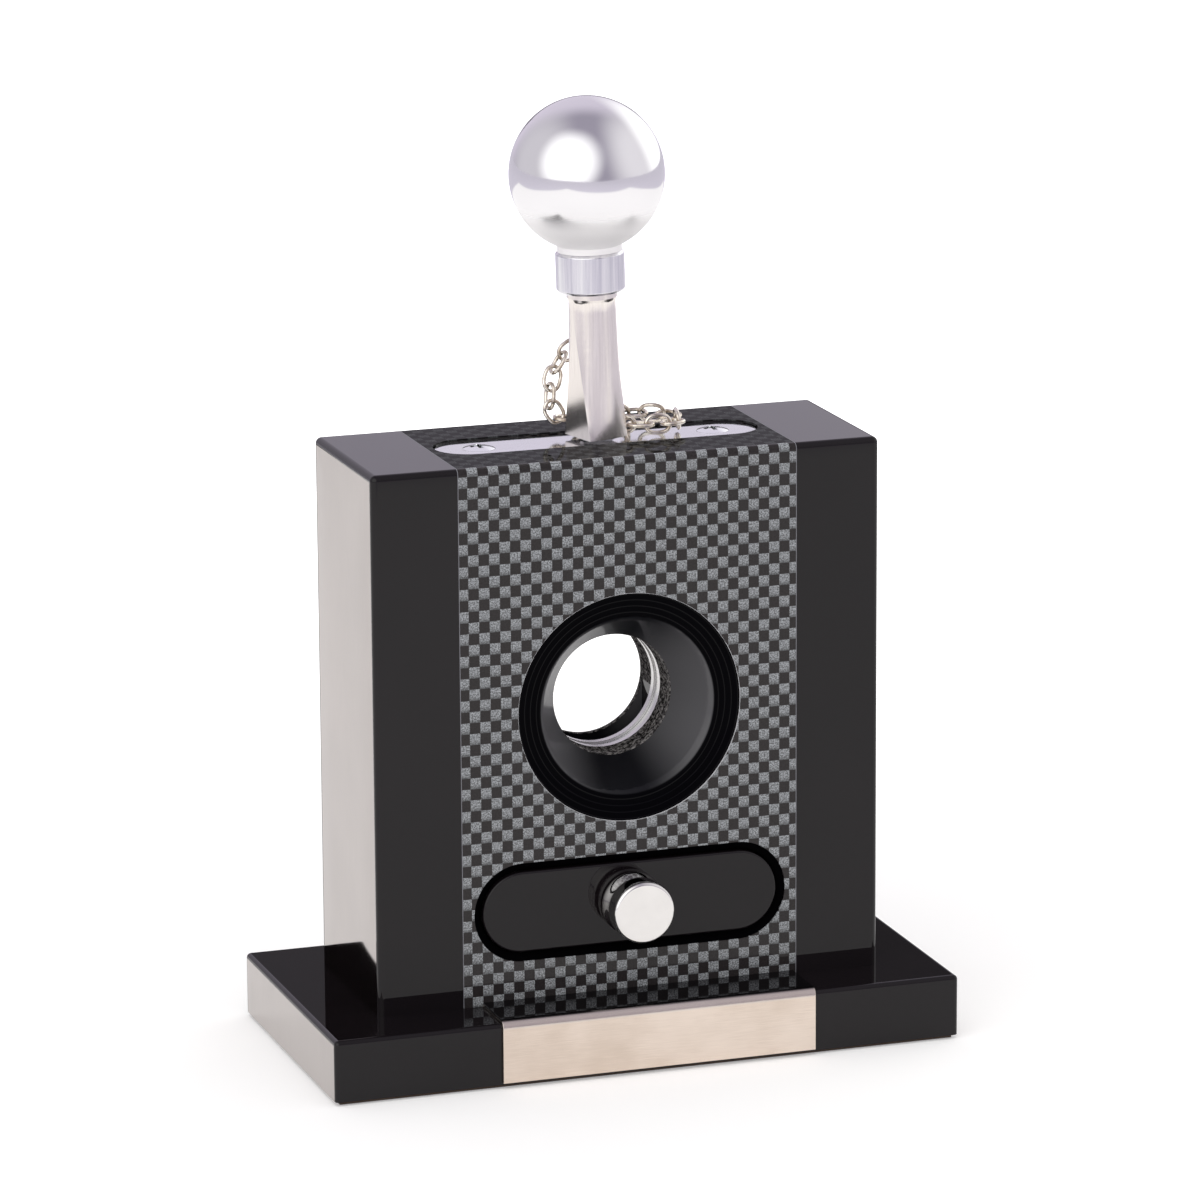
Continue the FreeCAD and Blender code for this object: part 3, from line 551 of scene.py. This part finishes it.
turned_metal, turned_shader, lathe, turned_place = finish("turned_aluminium", Metallic=1.0)
upright_lines = lathe.stretched(turned_place, (1300.0, 1300.0, 25.0))
streaks = lathe.noise(upright_lines, 1.0, 3.0, 0.6).step(0.3, 0.7)
feed(
    turned_shader,
    Base_Color=streaks.blend((0.70, 0.695, 0.735, 1), (0.88, 0.87, 0.885, 1)),
    Roughness=0.15 + streaks * 0.08,
)
ball_low, ball_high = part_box("ball_knob")
cad_radius = (ball_high.x - ball_low.x) / 2
cad_ball = Vector(((ball_low.x + ball_high.x) / 2, 0, ball_high.z - cad_radius))
handle_axis = (stand_up @ cad_ball - stem_foot).normalized()
collar_points = [stand_up @ v.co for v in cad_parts["knob_collar"].data.vertices]
collar_levels = [(co - stem_foot).dot(handle_axis) for co in collar_points]
collar_foot = stem_foot + handle_axis * min(collar_levels)
collar_top = stem_foot + handle_axis * max(collar_levels)
collar_height = (collar_top - collar_foot).length
collar_radius = max((co - stem_foot).cross(handle_axis).length for co in collar_points)
edge_break = 0.5 * mm
collar_profile = [
    (0, 0),
    (collar_radius - edge_break, 0),
    (collar_radius, edge_break),
    (collar_radius, collar_height - edge_break),
    (collar_radius - edge_break, collar_height),
    (0, collar_height),
]
collar_mesh = spun(collar_profile, collar_foot, handle_axis)
collar = piece(
    "knob_collar_turned", collar_mesh, turned_metal, "handle", "knob_collar"
)
soften(collar, 0.15 * mm)


# Ball: turned aluminium, mop-polished until only slow waves are left, and duller towards its neck, where
# it is also painted near white as painted light.
# A steel stud through the collar screws it to the stem.
ball_radius = 15.1 * mm
neck_radius = 6.3 * mm
ball_rise = 14.9 * mm
ball_middle = (collar_top + handle_axis * ball_rise).z
neck_turn = math.asin(neck_radius / ball_radius)
ball_steps = 96
ball_profile = [(0, 0), (neck_radius, 0)]
for k in range(ball_steps + 1):
    polar = neck_turn + (math.pi - neck_turn) * k / ball_steps
    ball_profile.append((ball_radius * math.sin(polar), ball_rise - ball_radius * math.cos(polar)))
polished, polished_shader, mop, polished_place = finish("polished_aluminium", Metallic=1.0)
mop_haze = mop.noise(polished_place, 60.0, 2.0)
wave = mop.noise(polished_place, 95.0, 1.0)
ball_level = mop.node("SeparateXYZ", None, {"Vector": polished_place}, out="Z") - ball_middle
bright_tint = mop_haze.blend((0.82, 0.81, 0.82, 1), (0.89, 0.88, 0.89, 1))
# Towards the neck the ball is rougher, and its colour is painted near white and less metallic: painted
# light.
lower_dull_and_painted_light = 1 - ball_level.step(-0.66 * ball_radius, -0.30 * ball_radius)
feed(
    polished_shader,
    Base_Color=lower_dull_and_painted_light.blend(bright_tint, (1.0, 0.985, 0.975, 1)),
    Roughness=0.075 + mop_haze * 0.05 + lower_dull_and_painted_light * 0.47,
    Metallic=1 - lower_dull_and_painted_light * 0.6,
    Normal=bumped(mop, wave, 0.10, 0.001),
)
ball_mesh = spun(ball_profile, collar_top, handle_axis)
piece("ball_knob_polished", ball_mesh, polished, "handle", "ball_knob")
smooth_copy("knob_stud", "knob_stud_steel", zinc, "handle", moved=stand_up)


# Tether chain: oval links of pale plated wire, from an eye in the stem to an eye in the top plate.
# It lies loose beside and behind the stem, and is drawn out as the handle is lifted.
gilt, gilt_shader, plated, gilt_place = finish("pale_gilt_wire", Metallic=1.0)
tarnish = plated.noise(gilt_place, 500.0, 3.0).step(0.3, 0.75)
feed(
    gilt_shader,
    Base_Color=tarnish.blend((0.93, 0.87, 0.78, 1), (0.40, 0.33, 0.26, 1)),
    Roughness=0.06 + tarnish * 0.14,
)
chain_weld = 1e-6
chain_mesh = bmesh.new()
chain_mesh.from_mesh(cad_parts["chain_links"].data)
bmesh.ops.remove_doubles(chain_mesh, verts=chain_mesh.verts, dist=chain_weld)
bmesh.ops.join_triangles(
    chain_mesh, faces=chain_mesh.faces, angle_face_threshold=0.4, angle_shape_threshold=0.8
)
chain_data = bpy.data.meshes.new("tether_chain")
chain_mesh.to_mesh(chain_data)
chain_mesh.free()
chain_data.materials.append(gilt)
chain_data.shade_smooth()
chain = bpy.data.objects.new("tether_chain", chain_data)
bpy.context.scene.collection.objects.link(chain)
round_wire = chain.modifiers.new("round_wire", "SUBSURF")
round_wire.levels = 1
round_wire.render_levels = 1
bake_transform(chain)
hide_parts("chain_links")
smooth_copy("chain_stem_eye", "chain_eye_stem", gilt, "handle", sharp=60)
smooth_copy("chain_plate_eye", "chain_eye_plate", gilt, "case", sharp=60)


# Drawer: a lacquered front with a round-ended outline, just inside its bevelled opening.
# Behind it is an open trough of black painted board, glued on, that catches the clippings.
drawer_lacquer = lacquer("drawer_lacquer")
smooth_copy("drawer_front", "drawer_front_lacquered", drawer_lacquer, "drawer")
board, board_shader, paint, board_place = finish("black_board", Roughness=0.6)
roller = paint.noise(board_place, 900.0, 3.0)
feed(
    board_shader,
    Base_Color=roller.blend((0.010, 0.010, 0.010, 1), (0.028, 0.027, 0.026, 1)),
    Normal=bumped(paint, roller, 0.15, 0.0001),
)
smooth_copy("drawer_tray", "drawer_trough", board, "drawer")


# Drawer knob: a turned and chromed button with a flared foot, a groove and a flat-faced head.
# All its edges are polished round, and a zinc-plated screw holds it from inside the drawer.
mirror, mirror_shader, shine, mirror_place = finish("knob_chrome", Metallic=1.0)
rub = shine.noise(mirror_place, 300.0, 3.0)
feed(
    mirror_shader,
    Base_Color=rub.blend((0.72, 0.70, 0.68, 1), (0.80, 0.78, 0.76, 1)),
    Roughness=0.04 + rub * 0.06,
)
knob_low, knob_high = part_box("drawer_knob")
knob_radius = (knob_high.x - knob_low.x) / 2
knob_length = knob_high.y - knob_low.y
flare_radius, groove_radius = 6.3 * mm, 5.2 * mm
flare_edge = 0.4 * mm
flare_start, flare_end, head_start = 0.9 * mm, 3.4 * mm, 4.1 * mm
head_bend, face_edge = 6.4 * mm, 4.6 * mm
knob_profile = [
    (0, 0),
    (flare_radius - flare_edge, 0),
    (flare_radius, flare_start),
    (flare_radius, flare_start + flare_edge),
    (groove_radius, flare_end),
    (groove_radius, head_start),
    (knob_radius, head_start),
    (knob_radius, head_bend),
    (knob_radius, knob_length),
    (face_edge, knob_length),
    (0, knob_length),
]
corner_cuts = 3
cut_places = (0.25, 0.75)
for _ in range(corner_cuts):
    worn = [knob_profile[0]]
    for a, b in zip(knob_profile, knob_profile[1:]):
        worn += [tuple(a[i] + (b[i] - a[i]) * t for i in (0, 1)) for t in cut_places]
    knob_profile = worn + [knob_profile[-1]]
knob_foot = Vector((0, knob_high.y, (knob_low.z + knob_high.z) / 2))
knob_mesh = spun(knob_profile, knob_foot, Vector((0, -1, 0)))
piece("drawer_knob_chromed", knob_mesh, mirror, "drawer", "drawer_knob", sharp=60)
smooth_copy("drawer_knob_screw", "drawer_knob_pan_screw", zinc, "drawer")


# Stage: a plain white table, greyer from half a metre out, in a grey room with soft light.
# A large soft light stands left of the camera, a second one far to the right, and one overhead.
# Behind the table a dark skirt shows only in reflections, as in a studio with a dark far side.
def sheet_of(name, corners, material):
    """A flat sheet of the stage, through the corners given."""
    form = bmesh.new()
    form.faces.new([form.verts.new(corner) for corner in corners])
    data = bpy.data.meshes.new(name)
    form.to_mesh(data)
    form.free()
    data.materials.append(material)
    made = bpy.data.objects.new(name, data)
    bpy.context.scene.collection.objects.link(made)


paper, paper_shader, sheet, paper_place = finish(
    "white_table", Roughness=0.9, Emission_Strength=1.0
)
seen = sheet.node("LightPath", out="Is Camera Ray")
mirrored = sheet.maths(
    "MAXIMUM",
    sheet.node("LightPath", out="Is Glossy Ray"),
    sheet.node("LightPath", out="Is Transmission Ray"),
)
off = sheet.node("VectorMath", {"operation": "LENGTH"}, {0: paper_place}, out="Value")
table_y = sheet.node("SeparateXYZ", None, {"Vector": paper_place}, out="Y")
table_x = sheet.node("SeparateXYZ", None, {"Vector": paper_place}, out="X")
table_middle_y = 0.05
off_y = sheet.maths("ABSOLUTE", table_y - table_middle_y)
off_x = sheet.maths("ABSOLUTE", table_x)
beyond = sheet.maths("MAXIMUM", off_y, off_x).step(0.56, 0.60)
glow = seen * (0.25 + off.step(0.12, 0.40) * 0.75) + mirrored * (0.26 - beyond * 0.16)
feed(
    paper_shader,
    Base_Color=beyond.blend((0.86, 0.85, 0.84, 1), (0.62, 0.59, 0.68, 1)),
    Emission_Color=glow.blend((0, 0, 0, 1), (1, 1, 1, 1)),
)
table_half = 6
table_corners = [(-table_half, -table_half), (table_half, -table_half)]
table_corners += [(table_half, table_half), (-table_half, table_half)]
sheet_of("table_top", [(*corner, 0) for corner in table_corners], paper)

skirt, skirt_shader, cloth, skirt_place = finish(
    "dark_skirt",
    Base_Color=(0.01, 0.01, 0.01, 1),
    Roughness=1.0,
    Specular_IOR_Level=0.0,
    Emission_Strength=1.0,
)
in_mirror = cloth.node("LightPath", out="Is Glossy Ray")
second_mirror = 1.5
twice = cloth.node("LightPath", out="Glossy Depth") > second_mirror
skirt_level = cloth.node("SeparateXYZ", None, {"Vector": skirt_place}, out="Z")
skirt_x = cloth.node("SeparateXYZ", None, {"Vector": skirt_place}, out="X")
skirt_half, skirt_y, skirt_high = 0.42, 0.65, 0.3
hung = skirt_level.step(0.14, 0.19) * (1 - skirt_level.step(0.240, 0.258))
right_or_twice = cloth.maths("MAXIMUM", twice, skirt_x.step(0.0, 0.03))
sheen = skirt_x.step(0.02, 0.08) * (1 - skirt_x.step(0.18, 0.28) * 0.6)
feed(
    skirt_shader,
    Alpha=in_mirror * hung * right_or_twice * (1 - skirt_x.step(0.34, skirt_half)),
    Emission_Color=sheen.blend((0, 0, 0, 1), (0.14, 0.13, 0.145, 1)),
)
skirt_corners = [(-skirt_half, 0), (skirt_half, 0), (skirt_half, skirt_high), (-skirt_half, skirt_high)]
sheet_of("far_skirt", [(x, skirt_y, z) for x, z in skirt_corners], skirt)

world = bpy.data.worlds.new("studio")
bpy.context.scene.world = world
world.use_nodes = True
sky_shader = world.node_tree.nodes["Background"]
sky = Wire(sky_shader.outputs["Background"])
heading = sky.node("TexCoord", out="Generated")


def towards(direction, edge, full):
    """How far a ray goes into a soft-edged round patch of sky, by degrees from the patch's middle."""
    sockets = {0: heading, 1: Vector(direction).normalized()}
    near = sky.node("VectorMath", {"operation": "DOT_PRODUCT"}, sockets, out="Value")
    return near.step(math.cos(math.radians(edge)), math.cos(math.radians(full)))


to_mirror = sky.node("LightPath", out="Is Glossy Ray")
to_camera = sky.node("LightPath", out="Is Camera Ray")
ceiling = to_mirror.blend((0.42, 0.42, 0.42, 1), (0.37, 0.345, 0.42, 1))
far_wall = to_mirror.blend((0.70, 0.70, 0.70, 1), (0.72, 0.67, 0.78, 1))
patches = [
    # the way to its middle, degrees out to its edge and to its full light, and its colour
    ((0.30, 0.88, 0.36), 60, 20, far_wall),
    ((-0.90, 0.30, 0.30), 65, 20, (0.68, 0.66, 0.71, 1)),
    ((0.90, -0.25, 0.30), 65, 15, (0.86, 0.84, 0.88, 1)),
    ((-0.662, -0.625, 0.416), 56, 5, (1.6, 1.6, 1.6, 1)),
    ((0.864, 0.484, 0.20), 42, 5, (1.4, 1.4, 1.4, 1)),
]
room = ceiling
for direction, edge, full, colour in patches:
    room = towards(direction, edge, full).blend(room, colour)
feed(sky_shader, Color=to_camera.blend(room, (1, 1, 1, 1)))

overhead = bpy.data.lights.new("overhead_box", "AREA")
overhead.shape = "RECTANGLE"
overhead.size = 1.1
overhead.size_y = 1.1
overhead.energy = 4.0
overhead_lamp = bpy.data.objects.new("overhead_box", overhead)
overhead_lamp.location = (-0.1, -0.2, 1.3)
overhead_lamp.visible_glossy = False
bpy.context.scene.collection.objects.link(overhead_lamp)


# Camera: a long lens, a little left of the front and above it, tilted by a third of a degree.
# It looks at the middle of the object from about one and a quarter metres away.
azimuth = math.radians(-18.67)
elevation = math.radians(13.73)
roll = math.radians(-0.355)
aim = Vector((0.000556, 0, 0.08723))
distance = 1.2557
focal_pixels = 6417
frame_pixels = 1200
backward = Vector((
    math.sin(azimuth) * math.cos(elevation),
    -math.cos(azimuth) * math.cos(elevation),
    math.sin(elevation),
))
level = Vector((math.cos(azimuth), math.sin(azimuth), 0))
square_up = backward.cross(level)
right = level * math.cos(roll) + square_up * math.sin(roll)
up = square_up * math.cos(roll) - level * math.sin(roll)
lens = bpy.data.cameras.new("camera")
lens.sensor_width = 36
lens.lens = lens.sensor_width * focal_pixels / frame_pixels
lens.clip_start = 0.05
camera = bpy.data.objects.new("camera", lens)
bpy.context.scene.collection.objects.link(camera)
facing = Matrix((right, up, backward)).transposed().to_4x4()
camera.matrix_world = Matrix.Translation(aim + backward * distance) @ facing
bpy.context.scene.camera = camera
bpy.context.scene.view_settings.view_transform = "Standard"
